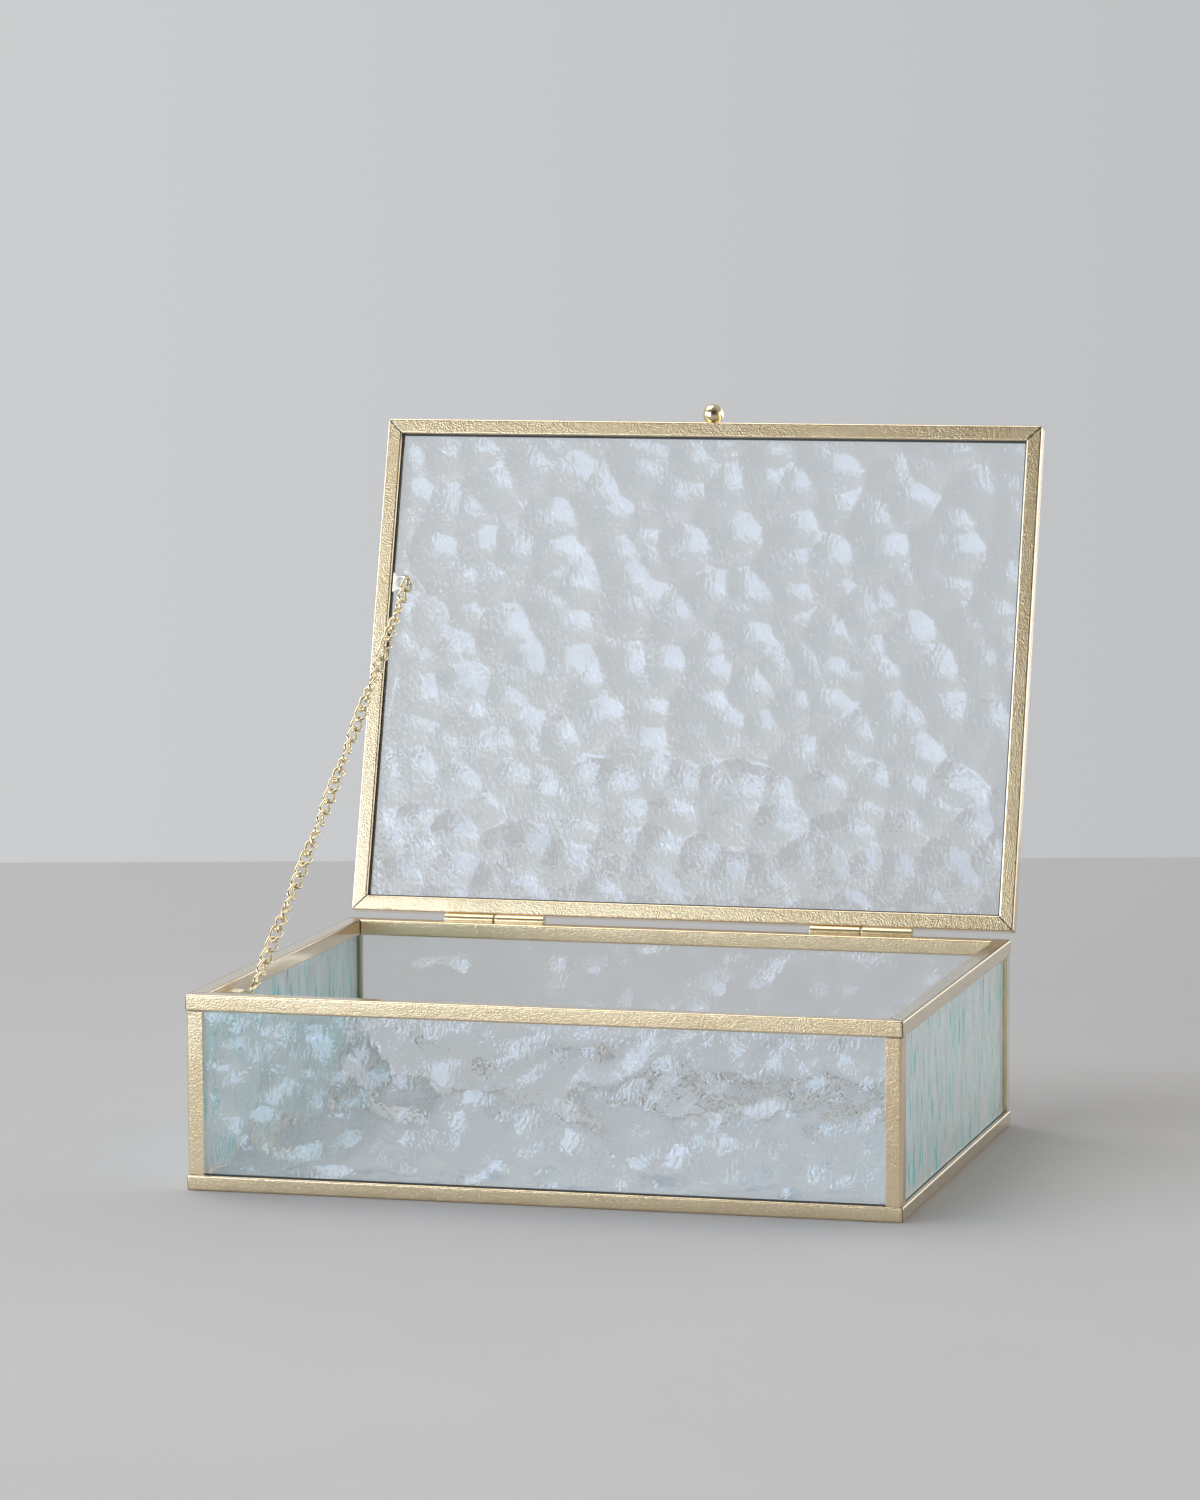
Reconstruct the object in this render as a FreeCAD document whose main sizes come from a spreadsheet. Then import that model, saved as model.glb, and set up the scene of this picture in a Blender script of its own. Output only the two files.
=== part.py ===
import FreeCAD, Part
import math
import os

import Sketcher
from FreeCAD import Placement, Rotation, Vector

# Keepsake box: gold rails round rippled glass, with a hinged lid held open by a chain stay.
# Millimetres, +Z up. The origin is the centre of the base's underside and the front faces -Y.
# The lid is drawn shut, then turned open about the hinge axis, which is how the box rests.

doc = FreeCAD.newDocument("KeepsakeBox")
sheet = doc.addObject("Spreadsheet::Sheet", "Sizes")

SIZES = {
    # The base, outside, and the lid on it
    "box_width": 203,
    "box_depth": 153,
    "base_height": 55,
    "lid_setback": 1.0,
    "lid_thickness": 5.2,
    "lid_gap": 0.3,
    "lid_opening_angle": 106.5,
    # Rails, posts and glass
    "rail_width": 5.2,
    "lid_rail_width": 4.6,
    "rail_rounding": 0.6,
    "bottom_rail_height": 4.3,
    "top_rail_height": 4.6,
    "ledge_width": 2.5,
    "ledge_height": 1.9,
    "post_leg": 4.6,
    "post_wall": 1.0,
    "post_inset": 0.3,
    "post_rounding": 0.8,
    "glass_thickness": 2.2,
    "glass_clearance": 0.1,
    "groove_depth": 2.6,
    "lid_glass_recess": 2.1,
    "lid_rail_web": 1.6,
    # Hinges
    "hinge_from_end": 45.3,
    "knuckle_length": 15.2,
    "knuckle_gap": 0.5,
    "knuckle_diameter": 3.4,
    "pin_diameter": 1.6,
    "pin_clearance": 0.04,
    "hinge_clearance": 0.2,
    "leaf_thickness": 1.0,
    "leaf_height": 4.0,
    # Knob on the lid's front edge
    "knob_diameter": 6.4,
    "knob_seat_depth": 0.3,
    "knob_pin_diameter": 2.0,
    "knob_pin_length": 1.5,
    # Ears that hold the chain, and the chain
    "ear_thickness": 0.5,
    "ear_root_height": 6.4,
    "ear_end_radius": 2.3,
    "ear_hole_diameter": 3.0,
    "ear_hole_from_rail": 2.8,
    "lid_ear_from_hinge": 103.0,
    "lid_ear_lift": 0.3,
    "base_ear_from_front": 30.0,
    "base_ear_below_top": 3.9,
    "chain_pitch": 4.6,
    "chain_wire": 0.9,
    "chain_link_width": 4.1,
    "chain_slack": 0.25,
}
for row, (alias, number) in enumerate(SIZES.items(), start=1):
    sheet.set(f"A{row}", alias)
    sheet.set(f"B{row}", str(number))
    sheet.setAlias(f"B{row}", alias)
doc.recompute()

SIDES = ("front", "right", "back", "left")
sub_parts = []


def value(expression):
    """A size worked out from the sheet, in millimetres or degrees."""
    return float(sheet.evalExpression(expression))


def keep(thing, label):
    """Name a sub-part and list it for writing."""
    thing.Label = label
    sub_parts.append(thing)
    return thing


# Levels and places that several pieces share, as expressions on the sheet
HALF_WIDTH = "Sizes.box_width / 2"
FRONT = "(-Sizes.box_depth / 2)"
BACK = "(Sizes.box_depth / 2)"
LID_FRONT = f"({FRONT} + Sizes.lid_setback)"
TOP_RAIL_UNDERSIDE = "(Sizes.base_height - Sizes.top_rail_height)"
GROOVE_OUTER = "(Sizes.post_inset + Sizes.post_wall)"
GLASS_INSET = f"({GROOVE_OUTER} + Sizes.glass_clearance)"
GROOVE_INNER = f"({GLASS_INSET} + Sizes.glass_thickness + Sizes.glass_clearance)"
LID_UNDERSIDE = "(Sizes.base_height + Sizes.lid_gap)"
LID_SLOT_FLOOR = f"({LID_UNDERSIDE} + Sizes.lid_glass_recess)"
LID_SLOT_HEIGHT = "(Sizes.glass_thickness + 2 * Sizes.glass_clearance)"
HINGE_Y = f"({BACK} + Sizes.knuckle_diameter / 2 + Sizes.hinge_clearance)"
HINGE_Z = "(Sizes.base_height + Sizes.lid_gap / 2)"

hinge_point = Vector(0, value(HINGE_Y), value(HINGE_Z))
lid_swing = Placement(
    Vector(), Rotation(Vector(1, 0, 0), -value("Sizes.lid_opening_angle")), hinge_point
)


def new_body(label):
    return keep(doc.addObject("PartDesign::Body", label), label)


def new_sketch(body, name, level, plane="XY_Plane"):
    """An empty sketch on one of the body's own origin planes, moved along its normal."""
    sketch = body.newObject("Sketcher::SketchObject", name)
    support = next(p for p in body.Origin.OriginFeatures if p.Role == plane)
    sketch.AttachmentSupport = (support, [""])
    sketch.MapMode = "FlatFace"
    sketch.setExpression("AttachmentOffset.Base.z", level)
    return sketch


def pin_point(sketch, line, point, x, y):
    """Hold one point of the sketch at two expressions from its origin."""
    for kind, expression in (("DistanceX", x), ("DistanceY", y)):
        where = sketch.addConstraint(
            Sketcher.Constraint(kind, -1, 1, line, point, value(expression))
        )
        sketch.setExpression(f"Constraints[{where}]", expression)


def polygon(body, name, points, level, plane="XY_Plane"):
    """A closed outline through points given as pairs of expressions."""
    sketch = new_sketch(body, name, level, plane)
    places = [Vector(value(x), value(y), 0) for x, y in points]
    for start, end in zip(places, places[1:] + places[:1]):
        sketch.addGeometry(Part.LineSegment(start, end), False)
    for line in range(len(points)):
        following = (line + 1) % len(points)
        sketch.addConstraint(Sketcher.Constraint("Coincident", line, 2, following, 1))
    for line, (x, y) in enumerate(points):
        pin_point(sketch, line, 1, x, y)
    return sketch


def disc(body, name, x, y, radius, level, plane="XY_Plane"):
    """A circle whose centre and radius are expressions."""
    sketch = new_sketch(body, name, level, plane)
    centre = Vector(value(x), value(y), 0)
    sketch.addGeometry(Part.Circle(centre, Vector(0, 0, 1), value(radius)), False)
    pin_point(sketch, 0, 3, x, y)
    where = sketch.addConstraint(Sketcher.Constraint("Radius", 0, value(radius)))
    sketch.setExpression(f"Constraints[{where}]", radius)
    return sketch


def grow(body, kind, name, sketch, length):
    """Pad a sketch along its normal, or pocket it the other way, by an expression."""
    feature = body.newObject(kind, name)
    feature.Profile = sketch
    feature.setExpression("Length", length)
    sketch.Visibility = False
    return feature


def pad(body, name, sketch, length):
    return grow(body, "PartDesign::Pad", name, sketch, length)


def pocket(body, name, sketch, length):
    """Cut a sketch downwards, and make sure that it took something away."""
    doc.recompute()
    before = body.Shape.Volume
    feature = grow(body, "PartDesign::Pocket", name, sketch, length)
    doc.recompute()
    if body.Shape.Volume >= before:
        raise RuntimeError(f"{body.Label}: {name} cuts nothing")
    return feature


def round_edges(body, name, chosen, radius):
    """Fillet the edges of the finished body for which chosen(edge) is true."""
    doc.recompute()
    names = [f"Edge{i}" for i, edge in enumerate(body.Shape.Edges, start=1) if chosen(edge)]
    finished = body.Tip
    feature = body.newObject("PartDesign::Fillet", name)
    feature.Base = (finished, names)
    feature.setExpression("Radius", radius)
    return feature


# Frames: four mitred rails round an outline, each a strip between two insets from it
def frame_corners(front, inset):
    """The frame's corners in plan, front left first and anticlockwise, at an inset."""
    near, far = f"{front} + {inset}", f"{BACK} - {inset}"
    left, right = f"-{HALF_WIDTH} + {inset}", f"{HALF_WIDTH} - {inset}"
    return [(left, near), (right, near), (right, far), (left, far)]


def strip(front, side, outer, inner):
    """One side's mitred strip, between an outer and an inner inset."""
    first = SIDES.index(side)
    second = (first + 1) % len(SIDES)
    outside, inside = frame_corners(front, outer), frame_corners(front, inner)
    return [outside[first], outside[second], inside[second], inside[first]]


def long_corner(side, front, rail_width, levels):
    """A test for a rail's four long corner edges, those on its outer and inner faces."""
    tolerance = value("Sizes.glass_clearance") / 10
    half, width = value(HALF_WIDTH), value(rail_width)
    outer = {"front": value(front), "back": value(BACK), "left": -half, "right": half}[side]
    inward = width if outer < 0 else -width
    faces = (outer, outer + inward)
    along = 0 if side in ("front", "back") else 1

    def near(number, choices):
        return any(abs(number - choice) < tolerance for choice in choices)

    def test(edge):
        start, end = edge.Vertexes[0].Point, edge.Vertexes[-1].Point
        crosswise = 1 - along
        return (
            abs(start[along] - end[along]) > width
            and near(start[crosswise], faces)
            and near(end[crosswise], faces)
            and near(start.z, levels)
            and near(end.z, levels)
        )

    return test


# Base: bottom rails hold the side glass in a groove and the floor glass on a ledge
def bottom_rail(side):
    body = new_body(f"base_bottom_rail_{side}")
    bar = polygon(body, "bar", strip(FRONT, side, "0", "Sizes.rail_width"), "0")
    pad(body, "bar_pad", bar, "Sizes.bottom_rail_height")
    ledge_inset = "(Sizes.rail_width + Sizes.ledge_width)"
    ledge = polygon(body, "ledge", strip(FRONT, side, "Sizes.rail_width", ledge_inset), "0")
    pad(body, "ledge_pad", ledge, "Sizes.ledge_height")
    outline = strip(FRONT, side, GROOVE_OUTER, GROOVE_INNER)
    groove = polygon(body, "groove", outline, "Sizes.bottom_rail_height")
    pocket(body, "groove_cut", groove, "Sizes.groove_depth")
    levels = (0, value("Sizes.bottom_rail_height"))
    corners = long_corner(side, FRONT, "Sizes.rail_width", levels)
    round_edges(body, "rounding", corners, "Sizes.rail_rounding")


# Top rails hold the side glass in a groove in their underside
def top_rail(side):
    body = new_body(f"base_top_rail_{side}")
    bar = polygon(body, "bar", strip(FRONT, side, "0", "Sizes.rail_width"), TOP_RAIL_UNDERSIDE)
    pad(body, "bar_pad", bar, "Sizes.top_rail_height")
    outline = strip(FRONT, side, GROOVE_OUTER, GROOVE_INNER)
    groove = polygon(body, "groove", outline, f"{TOP_RAIL_UNDERSIDE} + Sizes.groove_depth")
    pocket(body, "groove_cut", groove, "Sizes.groove_depth")
    levels = (value(TOP_RAIL_UNDERSIDE), value("Sizes.base_height"))
    corners = long_corner(side, FRONT, "Sizes.rail_width", levels)
    round_edges(body, "rounding", corners, "Sizes.rail_rounding")


for side in SIDES:
    bottom_rail(side)
    top_rail(side)


# Corner posts: folded angle strips that wrap the glass corners between the two frames
def corner_post(label, x_sign, y_sign):
    body = new_body(label)
    outer_x = f"({HALF_WIDTH} - Sizes.post_inset)"
    outer_y = f"({BACK} - Sizes.post_inset)"
    reach = ("0", "Sizes.post_leg", "Sizes.post_wall")

    def corner(along_x, along_y):
        x = f"{x_sign} * ({outer_x} - {reach[along_x]})"
        y = f"{y_sign} * ({outer_y} - {reach[along_y]})"
        return x, y

    steps = ((0, 0), (1, 0), (1, 2), (2, 2), (2, 1), (0, 1))
    angle = polygon(body, "angle", [corner(*step) for step in steps], "Sizes.bottom_rail_height")
    pad(body, "angle_pad", angle, f"{TOP_RAIL_UNDERSIDE} - Sizes.bottom_rail_height")
    fold = Vector(x_sign * value(outer_x), y_sign * value(outer_y), 0)
    tolerance = value("Sizes.glass_clearance") / 10

    def on_fold(edge):
        return all(math.hypot(v.X - fold.x, v.Y - fold.y) < tolerance for v in edge.Vertexes)

    round_edges(body, "fold_rounding", on_fold, "Sizes.post_rounding")


for y_name, y_sign in (("front", -1), ("back", 1)):
    for x_name, x_sign in (("left", -1), ("right", 1)):
        corner_post(f"corner_post_{y_name}_{x_name}", x_sign, y_sign)


# Glass: plain panes, whose ripple is a finish
def pane(label, lengths, corner):
    """A box of glass with its three lengths and its low corner as expressions."""
    box = keep(doc.addObject("Part::Box", label), label)
    for name, length in zip(("Length", "Width", "Height"), lengths):
        box.setExpression(name, length)
    for axis, place in zip("xyz", corner):
        box.setExpression(f"Placement.Base.{axis}", place)
    return box


PANE_SINK = "(Sizes.groove_depth - Sizes.glass_clearance)"
PANE_FLOOR = f"(Sizes.bottom_rail_height - {PANE_SINK})"
PANE_HEIGHT = f"({TOP_RAIL_UNDERSIDE} + {PANE_SINK} - {PANE_FLOOR})"

for label, low_y in (
    ("glass_front", f"{FRONT} + {GLASS_INSET}"),
    ("glass_back", f"{BACK} - {GLASS_INSET} - Sizes.glass_thickness"),
):
    pane(
        label,
        (f"Sizes.box_width - 2 * {GLASS_INSET}", "Sizes.glass_thickness", PANE_HEIGHT),
        (f"-{HALF_WIDTH} + {GLASS_INSET}", low_y, PANE_FLOOR),
    )
for label, low_x in (
    ("glass_left", f"-{HALF_WIDTH} + {GLASS_INSET}"),
    ("glass_right", f"{HALF_WIDTH} - {GLASS_INSET} - Sizes.glass_thickness"),
):
    pane(
        label,
        ("Sizes.glass_thickness", f"Sizes.box_depth - 2 * {GROOVE_INNER}", PANE_HEIGHT),
        (low_x, f"{FRONT} + {GROOVE_INNER}", PANE_FLOOR),
    )
FLOOR_INSET = "(Sizes.rail_width + Sizes.glass_clearance)"
pane(
    "glass_floor",
    (
        f"Sizes.box_width - 2 * {FLOOR_INSET}",
        f"Sizes.box_depth - 2 * {FLOOR_INSET}",
        "Sizes.glass_thickness",
    ),
    (f"-{HALF_WIDTH} + {FLOOR_INSET}", f"{FRONT} + {FLOOR_INSET}", "Sizes.ledge_height"),
)


# Lid: four mitred rails with a slot in their inner edges for the glass
def lid_rail(side):
    body = new_body(f"lid_rail_{side}")
    bar = polygon(body, "bar", strip(LID_FRONT, side, "0", "Sizes.lid_rail_width"), LID_UNDERSIDE)
    pad(body, "bar_pad", bar, "Sizes.lid_thickness")
    outline = strip(LID_FRONT, side, "Sizes.lid_rail_web", "Sizes.lid_rail_width")
    slot = polygon(body, "slot", outline, f"{LID_SLOT_FLOOR} + {LID_SLOT_HEIGHT}")
    pocket(body, "slot_cut", slot, LID_SLOT_HEIGHT)
    levels = (value(LID_UNDERSIDE), value(LID_UNDERSIDE) + value("Sizes.lid_thickness"))
    corners = long_corner(side, LID_FRONT, "Sizes.lid_rail_width", levels)
    round_edges(body, "rounding", corners, "Sizes.rail_rounding")
    return body


lid_rails = {side: lid_rail(side) for side in SIDES}
LID_PANE_INSET = "(Sizes.lid_rail_web + Sizes.glass_clearance)"
lid_glass = new_body("lid_glass")
lid_pane = polygon(
    lid_glass,
    "pane",
    frame_corners(LID_FRONT, LID_PANE_INSET),
    f"{LID_SLOT_FLOOR} + Sizes.glass_clearance",
)
pad(lid_glass, "pane_pad", lid_pane, "Sizes.glass_thickness")
lid_pieces = [*lid_rails.values(), lid_glass]


# Knob: a ball with a flat seat and a pin in the lid's front rail, along Y
KNOB_LEVEL = f"({LID_UNDERSIDE} + Sizes.lid_thickness / 2)"
KNOB_RADIUS = "(Sizes.knob_diameter / 2)"
KNOB_REACH = f"({KNOB_RADIUS} - Sizes.knob_seat_depth)"
ball = doc.addObject("Part::Sphere", "knob_ball")
ball.setExpression("Radius", KNOB_RADIUS)
ball.setExpression("Angle1", f"-asin({KNOB_REACH} / {KNOB_RADIUS})")
knob_pin = doc.addObject("Part::Cylinder", "knob_pin")
knob_pin.setExpression("Radius", "Sizes.knob_pin_diameter / 2")
knob_pin.setExpression("Height", f"Sizes.knob_pin_length + {KNOB_REACH}")
knob_pin.setExpression("Placement.Base.z", f"-Sizes.knob_pin_length - {KNOB_REACH}")
knob = keep(doc.addObject("Part::Fuse", "lid_knob"), "lid_knob")
knob.Base, knob.Tool = ball, knob_pin
outward = Rotation(Vector(0, 0, 1), Vector(0, -1, 0))
knob_middle = Vector(0, value(f"{LID_FRONT} - {KNOB_REACH}"), value(KNOB_LEVEL))
knob.Placement = Placement(knob_middle, outward)
lid_pieces.append(knob)

# The pin's hole is drilled from the front rail's outer face
drilled = lid_rails["front"]
hole = disc(
    drilled,
    "knob_hole",
    "0",
    KNOB_LEVEL,
    "Sizes.knob_pin_diameter / 2 + Sizes.pin_clearance",
    f"-{LID_FRONT}",
    "XZ_Plane",
)
pocket(drilled, "knob_hole_cut", hole, "Sizes.lid_rail_web")


# Hinges: two tubes in line, each with a leaf soldered to its rail, on one pin
def knuckle(label, start_x, leaf_sign):
    """A tube on the hinge axis from start_x, with a leaf above (1) or below (-1) the axis."""
    body = new_body(label)
    tube = disc(body, "tube", HINGE_Y, HINGE_Z, "Sizes.knuckle_diameter / 2", start_x, "YZ_Plane")
    pad(body, "tube_pad", tube, "Sizes.knuckle_length")
    leaf_end = f"{HINGE_Z} + {leaf_sign} * Sizes.leaf_height"
    leaf_back = f"{BACK} + Sizes.leaf_thickness"
    corners = ((BACK, HINGE_Z), (leaf_back, HINGE_Z), (leaf_back, leaf_end), (BACK, leaf_end))
    leaf = polygon(body, "leaf", corners, start_x, "YZ_Plane")
    pad(body, "leaf_pad", leaf, "Sizes.knuckle_length")
    radius = "Sizes.pin_diameter / 2 + Sizes.pin_clearance"
    far_end = f"{start_x} + Sizes.knuckle_length"
    bore = disc(body, "bore", HINGE_Y, HINGE_Z, radius, far_end, "YZ_Plane")
    pocket(body, "bore_cut", bore, "Sizes.knuckle_length")
    return body


def hinge_pin(label, start_x):
    pin = keep(doc.addObject("Part::Cylinder", label), label)
    pin.setExpression("Radius", "Sizes.pin_diameter / 2")
    pin.setExpression("Height", "2 * Sizes.knuckle_length + Sizes.knuckle_gap")
    pin.Placement = Placement(Vector(), Rotation(Vector(0, 0, 1), Vector(1, 0, 0)))
    for axis, place in zip("xyz", (start_x, HINGE_Y, HINGE_Z)):
        pin.setExpression(f"Placement.Base.{axis}", place)


for name, sign in (("left", -1), ("right", 1)):
    middle = f"{sign} * ({HALF_WIDTH} - Sizes.hinge_from_end)"
    lid_start = f"({middle} - Sizes.knuckle_gap / 2 - Sizes.knuckle_length)"
    base_start = f"({middle} + Sizes.knuckle_gap / 2)"
    lid_pieces.append(knuckle(f"lid_knuckle_{name}", lid_start, 1))
    knuckle(f"base_knuckle_{name}", base_start, -1)
    hinge_pin(f"hinge_pin_{name}", lid_start)

# Ears: flat lugs on the left rails' inner edges, with a hole for the chain's end link
BASE_EAR_ROOT = f"(-{HALF_WIDTH} + Sizes.rail_width)"
LID_EAR_ROOT = f"(-{HALF_WIDTH} + Sizes.lid_rail_width)"
EAR_HOLE_X = f"({BASE_EAR_ROOT} + Sizes.ear_hole_from_rail)"


def chain_ear(label, root_x, hole_y, floor, toward_hinge):
    """An ear lying flat at a floor level, its taller root reaching past its end one way in Y."""
    body = new_body(label)
    straight = f"{hole_y} + {-toward_hinge} * Sizes.ear_end_radius"
    slanted = f"{hole_y} + {toward_hinge} * Sizes.ear_end_radius"
    root_end = f"{straight} + {toward_hinge} * Sizes.ear_root_height"
    near_end = ((EAR_HOLE_X, straight), (EAR_HOLE_X, slanted))
    root = polygon(body, "root", ((root_x, straight), *near_end, (root_x, root_end)), floor)
    pad(body, "root_pad", root, "Sizes.ear_thickness")
    end = disc(body, "end", EAR_HOLE_X, hole_y, "Sizes.ear_end_radius", floor)
    pad(body, "end_pad", end, "Sizes.ear_thickness")
    top = f"{floor} + Sizes.ear_thickness"
    hole = disc(body, "hole", EAR_HOLE_X, hole_y, "Sizes.ear_hole_diameter / 2", top)
    pocket(body, "hole_cut", hole, "Sizes.ear_thickness")
    return body


LID_EAR_Y = f"({HINGE_Y} - Sizes.lid_ear_from_hinge)"
LID_EAR_FLOOR = f"({LID_UNDERSIDE} + Sizes.lid_ear_lift)"
BASE_EAR_Y = f"({FRONT} + Sizes.base_ear_from_front)"
BASE_EAR_FLOOR = "(Sizes.base_height - Sizes.base_ear_below_top)"
lid_pieces.append(chain_ear("lid_chain_ear", LID_EAR_ROOT, LID_EAR_Y, LID_EAR_FLOOR, 1))
chain_ear("base_chain_ear", BASE_EAR_ROOT, BASE_EAR_Y, BASE_EAR_FLOOR, -1)

for piece in lid_pieces:
    piece.Placement = lid_swing.multiply(piece.Placement)
doc.recompute()

# Chain: one link of round wire, two straight legs and two half rings, its length along Y
wire = value("Sizes.chain_wire")
bend = value("(Sizes.chain_link_width - Sizes.chain_wire) / 2")
slack = value("Sizes.chain_slack")
ear_middle = value("Sizes.ear_thickness / 2")
chain_x = value(f"{EAR_HOLE_X} + (Sizes.ear_end_radius + Sizes.ear_hole_diameter / 2) / 2")
chain_top = lid_swing.multVec(
    Vector(chain_x, value(LID_EAR_Y), value(LID_EAR_FLOOR) + ear_middle)
)
chain_foot = Vector(chain_x, value(BASE_EAR_Y), value(BASE_EAR_FLOOR) + ear_middle)
chord = chain_foot - chain_top
span = chord.Length + 2 * bend - wire - slack
link_count = 2 * round(span / value("Sizes.chain_pitch") / 2)
pitch = span / link_count
straight_half = (pitch + wire + slack) / 2 - bend

up, across = Vector(0, 0, 1), Vector(bend, 0, 0)
head, tail = Vector(0, straight_half, 0), Vector(0, -straight_half, 0)
link_path = doc.addObject("Sketcher::SketchObject", "link_path")
link_path.addGeometry(Part.LineSegment(tail - across, head - across), False)
link_path.addGeometry(Part.ArcOfCircle(Part.Circle(head, up, bend), 0, math.pi), False)
link_path.addGeometry(Part.LineSegment(head + across, tail + across), False)
link_path.addGeometry(Part.ArcOfCircle(Part.Circle(tail, up, bend), math.pi, 2 * math.pi), False)
link_section = doc.addObject("Part::Circle", "link_section")
link_section.setExpression("Radius", "Sizes.chain_wire / 2")
link_section.Placement = Placement(tail - across, Rotation(up, Vector(0, 1, 0)))
link = doc.addObject("Part::Sweep", "chain_link")
link.Sections = [link_section]
link.Spine = (link_path, [f"Edge{edge + 1}" for edge in range(link_path.GeometryCount)])
link.Solid = True
doc.recompute()

# Links hook crosswise while the chain turns slowly on itself; both end links lie across the ears
down_chain = chord * (1 / chord.Length)
HALF_TURNS = 25
link_turn = HALF_TURNS * 180 / (link_count - 1)
flat_link = Rotation(Vector(1, 0, 0), down_chain, Vector(), "XYZ")


def placed_link(number):
    middle = chain_top + down_chain * (straight_half + number * pitch)
    twist = Rotation(Vector(0, 1, 0), number * link_turn)
    copy = link.Shape.copy()
    copy.Placement = Placement(middle, flat_link.multiply(twist))
    return copy


# Runs of links that move as one, named for each tenth of the chain from the lid's ear down
UPPER_RUNS = [f"chain_upper_{run}" for run in (1, 2, 3, 4)]
LOWER_RUNS = [f"chain_lower_{run}" for run in (4, 4, 4, 3, 2, 1)]
TENTHS = UPPER_RUNS + LOWER_RUNS
links_of = {label: [] for label in TENTHS}
for number in range(link_count):
    links_of[TENTHS[number * len(TENTHS) // link_count]].append(placed_link(number))
for label, links in links_of.items():
    keep(doc.addObject("Part::Feature", label), label).Shape = Part.makeCompound(links)
doc.recompute()

# Nothing is written unless every object and every sub-part is sound
for thing in doc.Objects:
    if "Invalid" in thing.State or "Error" in thing.State:
        raise RuntimeError(f"{thing.Label} failed: {thing.State}")
for thing in sub_parts:
    if not thing.Shape.Solids or not thing.Shape.isValid():
        raise RuntimeError(f"{thing.Label} has no valid shape")

os.makedirs("parts", exist_ok=True)
for thing in sub_parts:
    thing.Shape.exportStep(f"parts/{thing.Label}.step")
print(f"{len(sub_parts)} sub-parts, {link_count} links at {pitch:.3f} mm, chain {chord.Length:.1f} mm")
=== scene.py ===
import math

import bmesh
import bpy
from mathutils import Matrix, Vector


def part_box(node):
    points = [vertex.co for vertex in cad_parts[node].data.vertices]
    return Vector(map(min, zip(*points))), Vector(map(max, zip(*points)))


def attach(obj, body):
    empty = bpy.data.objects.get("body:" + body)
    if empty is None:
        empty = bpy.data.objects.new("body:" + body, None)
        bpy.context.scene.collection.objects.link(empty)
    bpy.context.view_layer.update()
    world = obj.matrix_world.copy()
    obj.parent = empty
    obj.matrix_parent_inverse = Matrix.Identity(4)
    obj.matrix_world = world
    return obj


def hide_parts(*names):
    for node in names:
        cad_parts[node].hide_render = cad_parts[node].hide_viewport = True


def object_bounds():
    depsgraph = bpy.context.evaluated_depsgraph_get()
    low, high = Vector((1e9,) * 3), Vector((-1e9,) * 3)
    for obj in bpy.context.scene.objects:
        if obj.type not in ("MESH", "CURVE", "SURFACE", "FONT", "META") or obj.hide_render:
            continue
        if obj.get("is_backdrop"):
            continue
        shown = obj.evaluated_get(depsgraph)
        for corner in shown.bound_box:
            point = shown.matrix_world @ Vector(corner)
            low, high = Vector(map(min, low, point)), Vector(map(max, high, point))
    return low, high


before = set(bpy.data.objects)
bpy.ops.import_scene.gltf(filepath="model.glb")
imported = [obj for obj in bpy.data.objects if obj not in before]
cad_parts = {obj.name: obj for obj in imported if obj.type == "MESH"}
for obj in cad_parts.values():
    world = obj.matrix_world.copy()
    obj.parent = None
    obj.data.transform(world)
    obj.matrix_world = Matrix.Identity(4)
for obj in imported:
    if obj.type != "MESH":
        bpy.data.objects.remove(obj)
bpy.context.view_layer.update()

# Bottom rails of the base: four brass bars, mitred and soldered into a frame that the box stands on.
# Each has a groove along its top for the side glass and a ledge inside for the floor glass.
# The long corners are rolled over, and the filed mitres show as fine dark seams.
MM = 0.001
BOX_WIDTH, BOX_DEPTH, BASE_HEIGHT = 203 * MM, 153 * MM, 55 * MM
RAIL_WIDTH = 5.2 * MM
BOTTOM_RAIL_HEIGHT = 4.3 * MM
LEDGE_WIDTH, LEDGE_HEIGHT = 2.5 * MM, 1.9 * MM
GROOVE_OUTER, GROOVE_INNER, GROOVE_DEPTH = 1.3 * MM, 3.7 * MM, 2.6 * MM
RAIL_ROUNDING, CORNER_EXTRA, MITRE_SEAM = 0.55 * MM, 0.15 * MM, 0.2 * MM
CORNER_STEPS, ROLL_STEPS, SEAM_STEPS = 8, 5, 2
TOUCH, CUT_SNAP, STRAIGHT, SQUARE_ON, SLANTED = 0.01 * MM, 0.001 * MM, 0.001, 0.9, 0.5
# The sawn end of a rail is one face with more corners than this; no other slanted face has so many
SAWN_CORNERS = 8
SMOOTH_ANGLE = math.radians(32)
SIDES = {"front": 0, "right": 90, "back": 180, "left": 270}


def linear(hex_colour):
    """An sRGB hex colour as linear red, green, blue and full alpha."""
    channels = [int(hex_colour[i:i + 2], 16) / 255 for i in (1, 3, 5)]
    return (*[c / 12.92 if c <= 0.04045 else ((c + 0.055) / 1.055) ** 2.4 for c in channels], 1)


def add_node(tree, kind, inputs=None, **settings):
    """Add a node, set its properties, and feed its inputs with values or other nodes' outputs."""
    made = tree.nodes.new(kind)
    for name, setting in settings.items():
        setattr(made, name, setting)
    for socket, source in (inputs or {}).items():
        if isinstance(source, bpy.types.NodeSocket):
            tree.links.new(source, made.inputs[socket])
        else:
            made.inputs[socket].default_value = source
    return made


def new_material(name):
    """An empty node material, with its tree and its output node."""
    material = bpy.data.materials.new(name)
    material.use_nodes = True
    material.node_tree.nodes.clear()
    return material, material.node_tree, material.node_tree.nodes.new("ShaderNodeOutputMaterial")


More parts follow.
